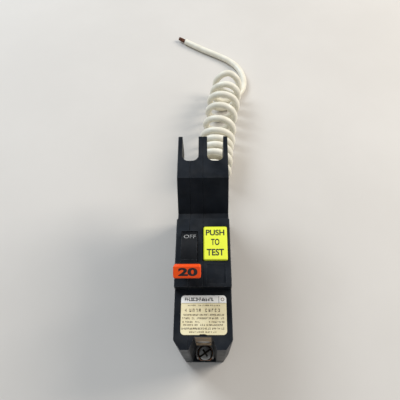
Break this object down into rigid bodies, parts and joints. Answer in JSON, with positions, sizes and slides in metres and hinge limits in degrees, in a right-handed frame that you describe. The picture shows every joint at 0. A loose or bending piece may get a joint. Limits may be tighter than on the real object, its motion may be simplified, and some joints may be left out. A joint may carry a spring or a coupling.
{
  "type": "ground-fault circuit breaker",
  "caption": "One-inch plug-on ground-fault circuit breaker with toggle handle, test button, rating label, screw terminals and a coiled neutral pigtail.",
  "frame": {"origin": "middle of the case's base, on the face that lies against the panel", "axes": "+X towards the ground-fault half, +Y towards the line end with the forked tongue, +Z out of the front face"},
  "size_m": [0.0542, 0.2506, 0.0696],
  "materials": {
    "case_phenolic": "moulded, satin sheen",
    "handle_black": "moulded, satin",
    "handle_red": "moulded, satin",
    "button_yellow": "moulded, satin",
    "label_paper": "printed film",
    "steel": "rolled",
    "screw_plated": "zinc plated",
    "rivet_steel": "plated",
    "brass": "stamped",
    "copper": "stamped",
    "braid_copper": "braided",
    "silver_contact": "polished",
    "fibre": "pressed fibre",
    "collar_grey": "moulded",
    "nylon": "moulded",
    "winding": "enamelled wire",
    "potting": "taped",
    "board": "solder mask",
    "component_black": "moulded",
    "component_blue": "dipped",
    "component_tan": "dipped",
    "capacitor_can": "drawn can",
    "insulation_white": "extruded",
    "insulation_black": "extruded",
    "bare_copper": "oxidised strands"
  },
  "bodies": {
    "case": {"left_shell": "case_phenolic", "mid_shell": "case_phenolic", "gfci_shell": "case_phenolic", "case_rivets": "rivet_steel", "rating_label": "label_paper", "handle_pin": "steel", "arm_pin": "steel", "fixed_contact": "silver_contact", "line_strap": "copper", "line_jaw": "copper", "arc_plates": "steel", "arc_chute_sides": "fibre", "cradle_pin": "steel", "armature_pin": "steel", "bimetal": "brass", "magnet_yoke": "steel", "calibration_screw": "brass", "flexible_braid": "braid_copper", "load_strap": "copper", "load_collar": "collar_grey", "neutral_plate": "brass", "neutral_strap": "brass", "button_spring": "steel", "test_contacts": "brass", "test_contact_block": "nylon", "solenoid_frame": "steel", "solenoid_bobbin": "nylon", "solenoid_coil": "winding", "trip_lever_pin": "steel", "circuit_board": "board", "surge_varistor": "component_blue", "sense_chip": "component_black", "thyristor": "component_black", "board_capacitors": "capacitor_can", "board_resistors": "component_tan", "sensor_core": "steel", "sensor_winding": "potting", "neutral_lead": "insulation_white", "hot_lead": "insulation_black", "pigtail_bushing": "insulation_white", "pigtail_lead": "insulation_white", "pigtail_coil": "insulation_white", "pigtail_tail": "insulation_white", "pigtail_bare_end": "bare_copper"},
    "handle": {"handle": "handle_black", "handle_tip": "handle_red"},
    "contact_arm": {"contact_arm": "copper", "moving_contact": "silver_contact", "toggle_spring": "steel"},
    "cradle": {"cradle": "steel"},
    "armature": {"armature": "steel"},
    "plunger": {"solenoid_plunger": "steel"},
    "trip_lever": {"trip_lever": "nylon"},
    "test_button": {"test_button": "button_yellow", "test_bridge": "brass"},
    "load_clamp": {"load_clamp": "screw_plated"},
    "load_screw": {"load_screw": "screw_plated"},
    "neutral_clamp": {"neutral_clamp": "screw_plated"},
    "neutral_screw": {"neutral_screw": "screw_plated"}
  },
  "joints": [
    {"name": "handle_throw", "type": "hinge", "parent": "case", "child": "handle", "pos_m": [-0.0063, -0.0082, 0.042], "axis": [-1, 0, 0], "range_deg": [0, 55]},
    {"name": "arm_close", "type": "hinge", "parent": "case", "child": "contact_arm", "pos_m": [-0.0063, -0.002, 0.0335], "axis": [1, 0, 0], "range_deg": [0, 14]},
    {"name": "plunger_pull", "type": "slide", "parent": "case", "child": "plunger", "axis": [0, 1, 0], "range_m": [0, 0.0015], "stiffness_N_per_m": 100, "springref_m": -0.002},
    {"name": "trip_lever_tilt", "type": "hinge", "parent": "case", "child": "trip_lever", "pos_m": [0.0056, -0.0349, 0.033], "axis": [-1, 0, 0], "range_deg": [0, 10]},
    {"name": "armature_pull", "type": "hinge", "parent": "case", "child": "armature", "pos_m": [-0.0063, -0.0301, 0.038], "axis": [-1, 0, 0], "range_deg": [0, 6]},
    {"name": "cradle_trip", "type": "hinge", "parent": "case", "child": "cradle", "pos_m": [-0.0109, 0.005, 0.0355], "axis": [1, 0, 0], "range_deg": [0, 14]},
    {"name": "button_press", "type": "slide", "parent": "case", "child": "test_button", "axis": [0, 0, -1], "range_m": [0, 0.0012], "stiffness_N_per_m": 300, "springref_m": -0.001, "deforming": ["button_spring"]},
    {"name": "load_clamp_travel", "type": "slide", "parent": "case", "child": "load_clamp", "axis": [0, 0, 1], "range_m": [0, 0.00237]},
    {"name": "load_screw_turn", "type": "hinge", "parent": "load_clamp", "child": "load_screw", "pos_m": [0.0004, -0.0474, 0.0087], "axis": [0, 0, 1], "range_deg": [0, 1080]},
    {"name": "neutral_clamp_travel", "type": "slide", "parent": "case", "child": "neutral_clamp", "axis": [0, -1, 0], "range_m": [0, 0.00237]},
    {"name": "neutral_screw_turn", "type": "hinge", "parent": "neutral_clamp", "child": "neutral_screw", "pos_m": [0, -0.0439, 0.034], "axis": [0, -1, 0], "range_deg": [0, 1080]}
  ],
  "couplings": [
    {"joint": "arm_close", "follows": "handle_throw", "ratio": 0.2545},
    {"joint": "trip_lever_tilt", "follows": "plunger_pull", "rad_per_m": 116.36},
    {"joint": "armature_pull", "follows": "plunger_pull", "rad_per_m": 69.813},
    {"joint": "cradle_trip", "follows": "plunger_pull", "rad_per_m": 162.9},
    {"joint": "load_screw_turn", "follows": "load_clamp_travel", "rad_per_m": 7953.3},
    {"joint": "neutral_screw_turn", "follows": "neutral_clamp_travel", "rad_per_m": 7953.3}
  ]
}
